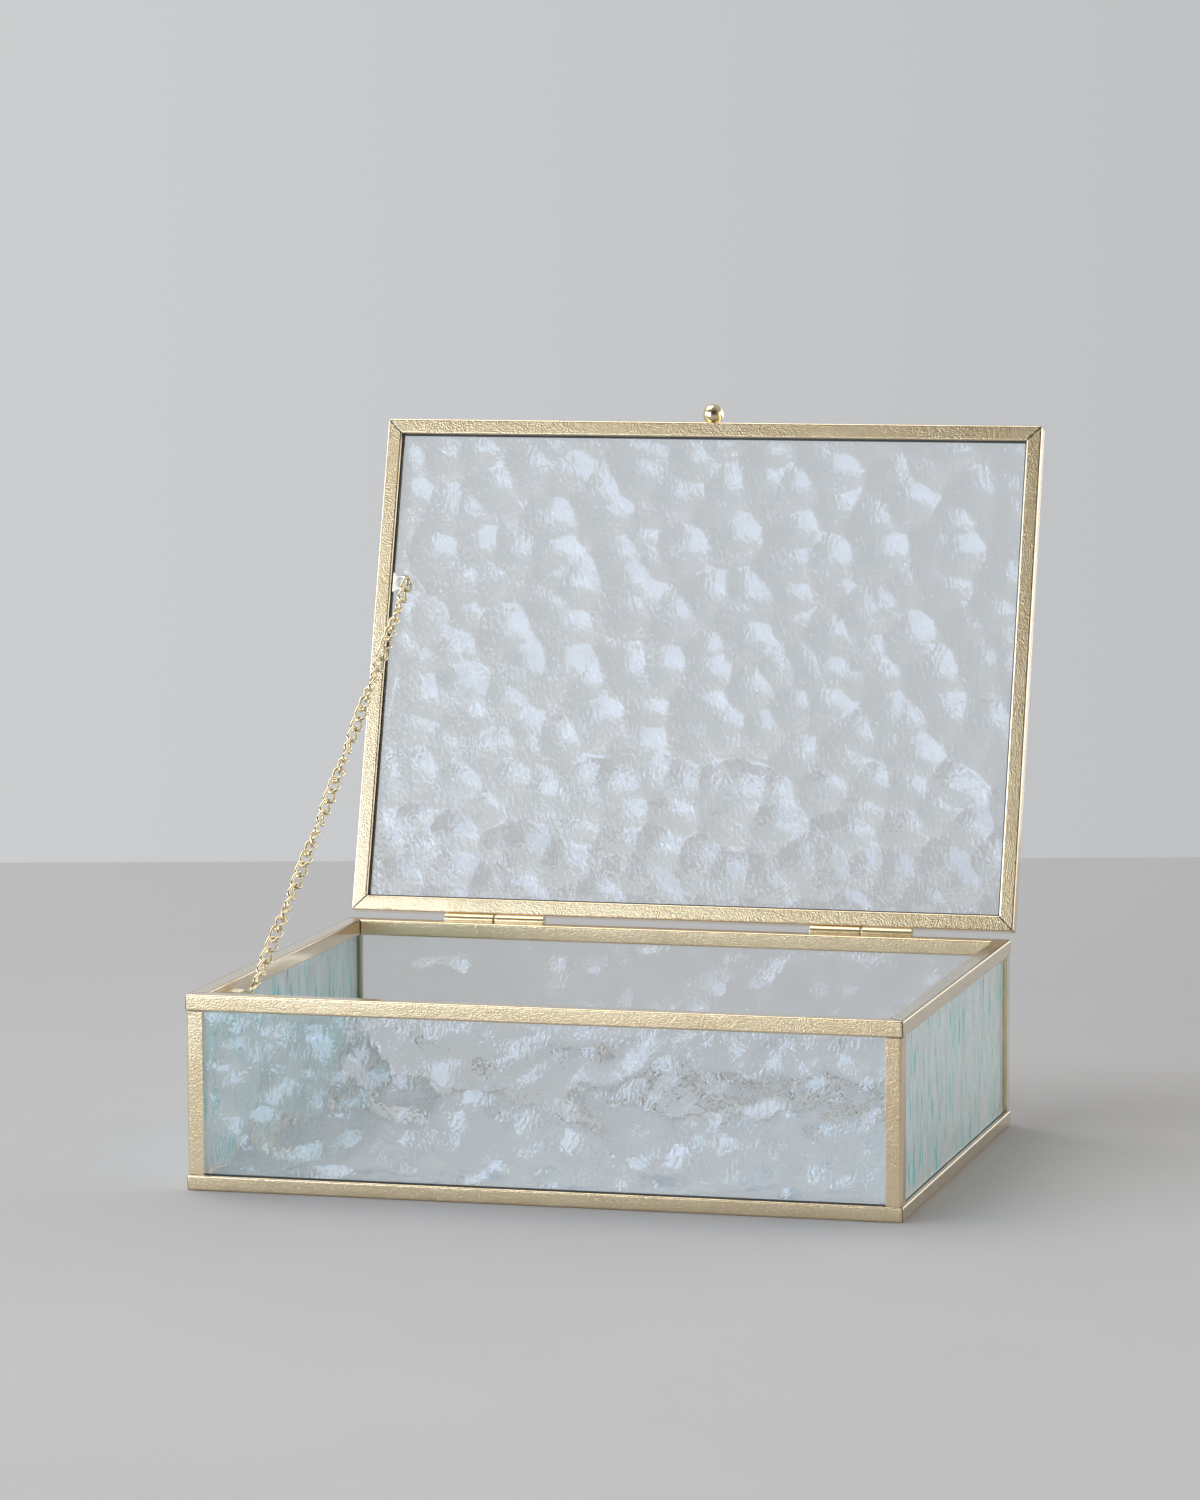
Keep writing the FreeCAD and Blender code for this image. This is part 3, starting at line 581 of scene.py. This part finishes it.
for name, hinge_middle in (("left", -HINGE_MIDDLE), ("right", HINGE_MIDDLE)):
    tube = hinge_tube(f"lid_hinge_tube_{name}", hinge_middle - TUBE_GAP / 2 - TUBE_LENGTH, 1)
    swing_open(tube)
    fit(tube, HINGE_GOLD, "lid", "hinge_metal", f"lid_knuckle_{name}")
    tube = hinge_tube(f"base_hinge_tube_{name}", hinge_middle + TUBE_GAP / 2, -1)
    fit(tube, HINGE_GOLD, "base", "hinge_metal", f"base_knuckle_{name}")
    bpy.ops.object.select_all(action="DESELECT")
    bpy.ops.mesh.primitive_cylinder_add(
        vertices=WIRE_SIDES, radius=PIN_RADIUS, depth=2 * TUBE_LENGTH + TUBE_GAP,
        location=(hinge_middle, HINGE_Y, HINGE_Z), rotation=(0, math.radians(90), 0))
    pin = bpy.context.object
    pin.name = pin.data.name = f"hinge_wire_{name}"
    bpy.ops.object.transform_apply()
    domed = pin.modifiers.new("domed ends", "BEVEL")
    domed.width, domed.segments, domed.limit_method = PIN_DOME, DOME_STEPS, "ANGLE"
    domed.angle_limit = DOME_ANGLE
    bpy.ops.object.modifier_apply(modifier="domed ends")
    smooth(pin)
    fit(pin, HINGE_GOLD, "base", "hinge_metal", f"hinge_pin_{name}")

# Knob: a turned and polished brass ball at the middle of the lid's front rail.
# A short pin goes from it into the rail.
KNOB_RADIUS, KNOB_PLACE = 3.2 * MM, Vector((0, -78.4 * MM, 57.9 * MM))
KNOB_PIN, PIN_START = 1.8 * MM, 0.93
KNOB_SEGMENTS, KNOB_RINGS = 48, 32
# Lathe-turned and buffed: it mirrors the room, with the window as one bright spot
BRIGHT_GOLD = satin_gold("polished_brass", "#EAD9A6", "#D9BE80", 0.15, 0.008 * MM)
bpy.ops.object.select_all(action="DESELECT")
bpy.ops.mesh.primitive_uv_sphere_add(segments=KNOB_SEGMENTS, ring_count=KNOB_RINGS, radius=KNOB_RADIUS)
knob = bpy.context.object
knob.name = knob.data.name = "knob_ball"
bpy.ops.object.mode_set(mode="EDIT")
choose("FACE", lambda f: middle(f).z > PIN_START * KNOB_RADIUS)
bpy.ops.mesh.extrude_region_move(TRANSFORM_OT_translate={"value": (0, 0, KNOB_PIN)})
bpy.ops.object.mode_set(mode="OBJECT")
knob.matrix_world = Matrix.Translation(KNOB_PLACE) @ Matrix.Rotation(math.radians(-90), 4, "X")
bpy.ops.object.transform_apply()
bpy.ops.object.shade_smooth_by_angle(angle=SMOOTH_ANGLE)
swing_open(knob)
fit(knob, BRIGHT_GOLD, "lid", "polished_gold", "lid_knob")

# Chain ears: flat lugs cut from thin sheet, soldered inside the left rails of the lid and the base.
# Each has a hole that an end link of the chain goes through.
EAR_THICKNESS, EAR_HOLE, EAR_END = 0.5 * MM, 1.5 * MM, 2.3 * MM
EAR_REACH, EAR_SPREAD, EAR_EDGE = 2.8 * MM, 1.62, 0.1 * MM
EAR_SIDES, EAR_EDGE_STEPS, EAR_ROOT, EAR_RIM = 32, 2, 0.5, 0.95
EAR_X = -93.5 * MM
LID_EAR_PLACE, BASE_EAR_PLACE = (EAR_X, -24.6 * MM, 55.85 * MM), (EAR_X, -46.5 * MM, 51.35 * MM)
# Brass sheet, paler and duller than the lacquer: its near-white colour is a painted highlight, for the
# window's gleam on its flat faces
EAR_GOLD_PAINTED_HIGHLIGHT = satin_gold("brass_sheet_painted_highlight", "#F4ECD8", "#EADCBA", 0.3, 0.01 * MM)


def chain_ear(name, place):
    """A lug in a level plane, its rounded end to the right and its wide root at the left rail."""
    bpy.ops.object.select_all(action="DESELECT")
    bpy.ops.mesh.primitive_circle_add(vertices=EAR_SIDES, radius=EAR_HOLE)
    ear = bpy.context.object
    ear.name = ear.data.name = name
    bpy.ops.object.mode_set(mode="EDIT")
    bpy.ops.mesh.select_all(action="SELECT")
    bpy.ops.mesh.extrude_edges_move()
    bpy.ops.transform.resize(value=(EAR_END / EAR_HOLE, EAR_END / EAR_HOLE, 1))
    choose("EDGE", lambda e: middle(e).x < -EAR_ROOT * EAR_END and middle(e).length > EAR_RIM * EAR_END)
    bpy.ops.transform.resize(value=(0, EAR_SPREAD, 1), center_override=(-EAR_REACH, 0, 0))
    bpy.ops.mesh.select_all(action="SELECT")
    bpy.ops.mesh.normals_make_consistent(inside=False)
    bpy.ops.object.mode_set(mode="OBJECT")
    wall = ear.modifiers.new("wall", "SOLIDIFY")
    wall.thickness, wall.offset = EAR_THICKNESS, 0
    filed = ear.modifiers.new("filed edges", "BEVEL")
    filed.width, filed.segments, filed.limit_method = EAR_EDGE, EAR_EDGE_STEPS, "ANGLE"
    for step in ("wall", "filed edges"):
        bpy.ops.object.modifier_apply(modifier=step)
    ear.location = place
    bpy.ops.object.transform_apply()
    smooth(ear)
    return ear


ear = chain_ear("lid_ear", LID_EAR_PLACE)
swing_open(ear)
fit(ear, EAR_GOLD_PAINTED_HIGHLIGHT, "lid", "polished_gold", "lid_chain_ear")
ear = chain_ear("base_ear", BASE_EAR_PLACE)
fit(ear, EAR_GOLD_PAINTED_HIGHLIGHT, "base", "polished_gold", "base_chain_ear")

# Chain: forty twisted curb links of drawn brass wire from ear to ear, polished.
# Each link is turned a little further than the last, so the chain spirals, and it hangs in a slight bow.
LINK_BEND, LINK_WIRE, LINK_STRAIGHT, LINK_PITCH = 1.6 * MM, 0.45 * MM, 1.3207 * MM, 4.6913 * MM
LINK_TWIST, CHAIN_TWIST = math.radians(80), math.radians(980)
LINK_SEGMENTS, WIRE_SEGMENTS, LEG_CUTS = 24, 10, (-0.8, -0.4, 0.4, 0.8)
# Drawn wire, tumbled bright: each link is a small glint with a dark hollow beside it
CHAIN_GOLD = satin_gold("polished_chain_wire", "#F0DFB4", "#DCC38A", 0.17, 0.006 * MM)
BOW_DOWN, BOW_SIDE = 0.6 * MM, 0.7 * MM
CHAIN_X = -91.6 * MM
RUNS = {
    "upper_1": range(0, 4), "upper_2": range(4, 8), "upper_3": range(8, 12), "upper_4": range(12, 16),
    "lower_4": range(16, 28), "lower_3": range(28, 32), "lower_2": range(32, 36), "lower_1": range(36, 40),
}
chain_top = swing @ Vector((CHAIN_X, *LID_EAR_PLACE[1:]))
chain_foot = Vector((CHAIN_X, *BASE_EAR_PLACE[1:]))
chain_way = (chain_foot - chain_top).normalized()
across = Vector((1, 0, 0))
upright = chain_way.cross(across)
bow = across * BOW_SIDE - upright * BOW_DOWN
link_count = sum(len(links) for links in RUNS.values())
bpy.ops.object.select_all(action="DESELECT")
bpy.ops.mesh.primitive_torus_add(
    major_radius=LINK_BEND, minor_radius=LINK_WIRE, major_segments=LINK_SEGMENTS,
    minor_segments=WIRE_SEGMENTS)
pattern = bpy.context.object
bpy.ops.object.mode_set(mode="EDIT")
for end in (-1, 1):
    choose("VERT", lambda v: v.co.x * end > TOUCH)
    bpy.ops.transform.translate(value=(end * LINK_STRAIGHT, 0, 0))
for cut in LEG_CUTS:
    slice_at((cut * LINK_STRAIGHT, 0, 0), (1, 0, 0))
bpy.ops.object.mode_set(mode="OBJECT")
wrung = pattern.modifiers.new("wrung", "SIMPLE_DEFORM")
wrung.deform_method, wrung.deform_axis, wrung.angle = "TWIST", "X", LINK_TWIST
bpy.ops.object.modifier_apply(modifier="wrung")
bpy.ops.object.shade_smooth()
for run, numbers in RUNS.items():
    links = []
    for number in numbers:
        link = bpy.data.objects.new(f"chain_{run}_links", pattern.data.copy())
        bpy.context.scene.collection.objects.link(link)
        # The bow is a shallow parabola: nothing at the two ears, and full at half the way
        share = (number + 0.5) / link_count
        slope = 4 * (1 - 2 * share) / (link_count * LINK_PITCH)
        way = (chain_way + bow * slope).normalized()
        side_way = way.cross(upright)
        turn = LINK_TWIST / 2 - CHAIN_TWIST * number / (link_count - 1)
        flat = (upright * math.cos(turn) + side_way * math.sin(turn)).normalized()
        axes = Matrix((way, flat, way.cross(flat))).transposed().to_4x4()
        place = chain_top + chain_way * (LINK_STRAIGHT + number * LINK_PITCH) + bow * 4 * share * (1 - share)
        link.matrix_world = Matrix.Translation(place) @ axes
        links.append(link)
    bpy.context.view_layer.update()
    pick(links[0])
    for link in links:
        link.select_set(True)
    bpy.ops.object.join()
    bpy.ops.object.transform_apply()
    links[0].data.name = links[0].name
    fit(links[0], CHAIN_GOLD, f"run_{run}", "polished_gold", f"chain_{run}")
bpy.data.objects.remove(pattern)

# Stage: a plain pale grey table top, level with the underside of the bottom rails.
# Its far edge lies where the floor meets the wall in the picture, and its colour gets a little darker towards
# there: painted shade, for the light falling off.
CAMERA_PLACE = Vector((0.42298, -1.60179, 0.30978))
CAMERA_RIGHT, CAMERA_UP = Vector((0.9666, 0.25624, -0.00454)), Vector((-0.02527, 0.11291, 0.99328))
FLOOR_END, FLOOR_START, FLOOR_HALF = 2.288, 1.15, 4.0
FLOOR_NEAR_COLOUR, FLOOR_FAR_SHADE_COLOUR, NEAR_Y, FAR_Y = "#CECBC8", "#BAB7B4", -0.3, 0.5
MOTTLE_SIZE, MOTTLE_SHARE, FLOOR_ROUGHNESS = 0.12, 0.4, 0.75
level_ahead = Vector((-CAMERA_RIGHT.y, CAMERA_RIGHT.x, 0)).normalized()
bpy.ops.object.select_all(action="DESELECT")
bpy.ops.mesh.primitive_plane_add(size=1)
floor = bpy.context.object
floor.name = "table_top"
floor.scale = (2 * FLOOR_HALF, FLOOR_END - FLOOR_START, 1)
floor.rotation_euler.z = math.atan2(-level_ahead.x, level_ahead.y)
floor.location = CAMERA_PLACE + level_ahead * (FLOOR_END + FLOOR_START) / 2
floor.location.z = 0
bpy.ops.object.transform_apply()
# Smoothed plaster: matt, with hardly any mottling, and painted shade that darkens it towards the far edge
floor_material, tree, output = new_material("plaster_board_painted_falloff")
place = add_node(tree, "ShaderNodeTexCoord").outputs["Object"]
mottle = add_node(tree, "ShaderNodeTexNoise", {"Vector": place, "Scale": 1 / MOTTLE_SIZE, "Detail": 5.0})
along_floor = add_node(tree, "ShaderNodeSeparateXYZ", {"Vector": place})
# Painted shade: the colour runs from the near colour to the darker far one along the table, with the mottling
# added
to_back = add_node(
    tree, "ShaderNodeMapRange", {"Value": along_floor.outputs["Y"], "From Min": NEAR_Y, "From Max": FAR_Y})
worn = add_node(tree, "ShaderNodeMath", {0: mottle.outputs["Fac"], 1: MOTTLE_SHARE}, operation="MULTIPLY")
deeper = add_node(
    tree, "ShaderNodeMath", {0: to_back.outputs["Result"], 1: worn.outputs["Value"]}, operation="ADD")
shade = add_node(
    tree, "ShaderNodeMix",
    {"Factor": deeper.outputs["Value"], "A": linear(FLOOR_NEAR_COLOUR), "B": linear(FLOOR_FAR_SHADE_COLOUR)},
    data_type="RGBA")
shader = add_node(
    tree, "ShaderNodeBsdfPrincipled", {"Base Color": shade.outputs["Result"], "Roughness": FLOOR_ROUGHNESS})
tree.links.new(shader.outputs["BSDF"], output.inputs["Surface"])
floor.data.materials.append(floor_material)
floor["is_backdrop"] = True

# Light: a plain room, pale behind the box, dimmer in front and darkest above the camera, under one panel.
# A broad window with soft edges is at the front left, and a low pale card at the back right.
# Below the horizon the room is as pale in front as behind, which only views from behind show.
ROOM_FRONT_COLOUR, ROOM_BACK_COLOUR = "#FBF8F4", "#FBFDFF"
ROOM_FRONT, ROOM_BACK, ROOM_LEFT, ROOM_RIGHT = 0.3, 0.58, 1.09, 0.92
WINDOW_COLOUR, WINDOW_STRENGTH = "#C9DFFF", 6.2
CARD_STRENGTH, DARK_CORNER_LEVEL, LOW_FRONT_LEVEL = 2.0, 0.25, 1.9
PANEL_PLACE, PANEL_SIZE, PANEL_POWER = Vector((-1.0, 0.3, 2.0)), 1.8, 24
world = bpy.data.worlds.new("pale_room")
bpy.context.scene.world = world
world.use_nodes = True
tree = world.node_tree
outlook = add_node(tree, "ShaderNodeTexCoord").outputs["Generated"]
facing = add_node(tree, "ShaderNodeSeparateXYZ", {"Vector": outlook})
ahead = add_node(tree, "ShaderNodeMath", {0: facing.outputs["Y"], 1: -1.0}, operation="MULTIPLY")
bearing = add_node(
    tree, "ShaderNodeMath", {0: facing.outputs["X"], 1: ahead.outputs["Value"]}, operation="ARCTAN2")


def fade(value, start, end, low=0.0, high=1.0):
    """A soft step from low at start to high at end."""
    step = add_node(
        tree, "ShaderNodeMapRange",
        {"Value": value, "From Min": start, "From Max": end, "To Min": low, "To Max": high},
        interpolation_type="SMOOTHSTEP")
    return step.outputs["Result"]


def round_the_room(start, end):
    """A soft step in the bearing, in degrees from the front of the box round to its right."""
    return fade(bearing.outputs["Value"], math.radians(start), math.radians(end))


def up_the_room(start, end):
    """A soft step in the height above the horizon, in degrees."""
    return fade(facing.outputs["Z"], math.sin(math.radians(start)), math.sin(math.radians(end)))


def times(first, *others):
    """The product of some values."""
    for other in others:
        product = add_node(tree, "ShaderNodeMath", {0: first, 1: other}, operation="MULTIPLY")
        first = product.outputs["Value"]
    return first


window = times(
    round_the_room(-13, -21), round_the_room(-95, -65), up_the_room(28, 18), up_the_room(-40, -12))
dark_corner = times(round_the_room(-14, -4), round_the_room(60, 40), up_the_room(2, 12), up_the_room(60, 40))
card = times(round_the_room(60, 100), round_the_room(174, 155), fade(facing.outputs["Z"], 0.5, 0.2))
low_front = times(fade(facing.outputs["Z"], -0.02, -0.14), fade(facing.outputs["Y"], -0.2, -0.5))
room_strength = times(
    fade(facing.outputs["Y"], -0.35, 0.25, ROOM_FRONT, ROOM_BACK),
    fade(facing.outputs["X"], -0.42, -0.08, ROOM_LEFT, ROOM_RIGHT),
    fade(dark_corner, 0.0, 1.0, 1.0, DARK_CORNER_LEVEL), fade(low_front, 0.0, 1.0, 1.0, LOW_FRONT_LEVEL))
room_colour = add_node(
    tree, "ShaderNodeMix",
    {"Factor": fade(facing.outputs["Y"], -0.35, 0.25),
     "A": linear(ROOM_FRONT_COLOUR), "B": linear(ROOM_BACK_COLOUR)}, data_type="RGBA")
light_colour = add_node(
    tree, "ShaderNodeMix",
    {"Factor": window, "A": room_colour.outputs["Result"], "B": linear(WINDOW_COLOUR)}, data_type="RGBA")
with_window = add_node(
    tree, "ShaderNodeMath", {0: times(window, WINDOW_STRENGTH), 1: room_strength}, operation="ADD")
strength = add_node(
    tree, "ShaderNodeMath", {0: with_window.outputs["Value"], 1: times(card, CARD_STRENGTH)}, operation="ADD")
room = tree.nodes["Background"]
tree.links.new(light_colour.outputs["Result"], room.inputs["Color"])
tree.links.new(strength.outputs["Value"], room.inputs["Strength"])
lamp = bpy.data.lights.new("panel_above", "AREA")
lamp.shape, lamp.size, lamp.size_y, lamp.energy = "RECTANGLE", PANEL_SIZE, PANEL_SIZE, PANEL_POWER
panel = bpy.data.objects.new("panel_above", lamp)
panel.visible_camera = False
panel.location = PANEL_PLACE
panel.rotation_euler = (-PANEL_PLACE).to_track_quat("-Z", "Y").to_euler()
bpy.context.scene.collection.objects.link(panel)

# Camera: where the photograph was taken from, in front and a little to the right, looking slightly down.
# A long lens takes in the whole frame of 1200 by 1500, and light may pass through many faces of glass.
FRAME_HEIGHT_PX, FOCAL_PX, SENSOR = 1500, 5883.45, 36
NEAREST, FARTHEST = 0.05, 50
GLASS_BOUNCES, GLOSS_BOUNCES = 32, 16
lens = bpy.data.cameras.new("photo_camera")
lens.sensor_width, lens.lens = SENSOR, FOCAL_PX * SENSOR / FRAME_HEIGHT_PX
lens.clip_start, lens.clip_end = NEAREST, FARTHEST
camera = bpy.data.objects.new("photo_camera", lens)
camera_back = CAMERA_RIGHT.cross(CAMERA_UP)
turned = Matrix((CAMERA_RIGHT, CAMERA_UP, camera_back)).transposed().to_4x4()
camera.matrix_world = Matrix.Translation(CAMERA_PLACE) @ turned
bpy.context.scene.collection.objects.link(camera)
bpy.context.scene.camera = camera
bpy.context.scene.view_settings.view_transform = "Standard"
bpy.context.scene.cycles.max_bounces = GLASS_BOUNCES
bpy.context.scene.cycles.transmission_bounces = GLASS_BOUNCES
bpy.context.scene.cycles.glossy_bounces = GLOSS_BOUNCES

low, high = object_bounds()
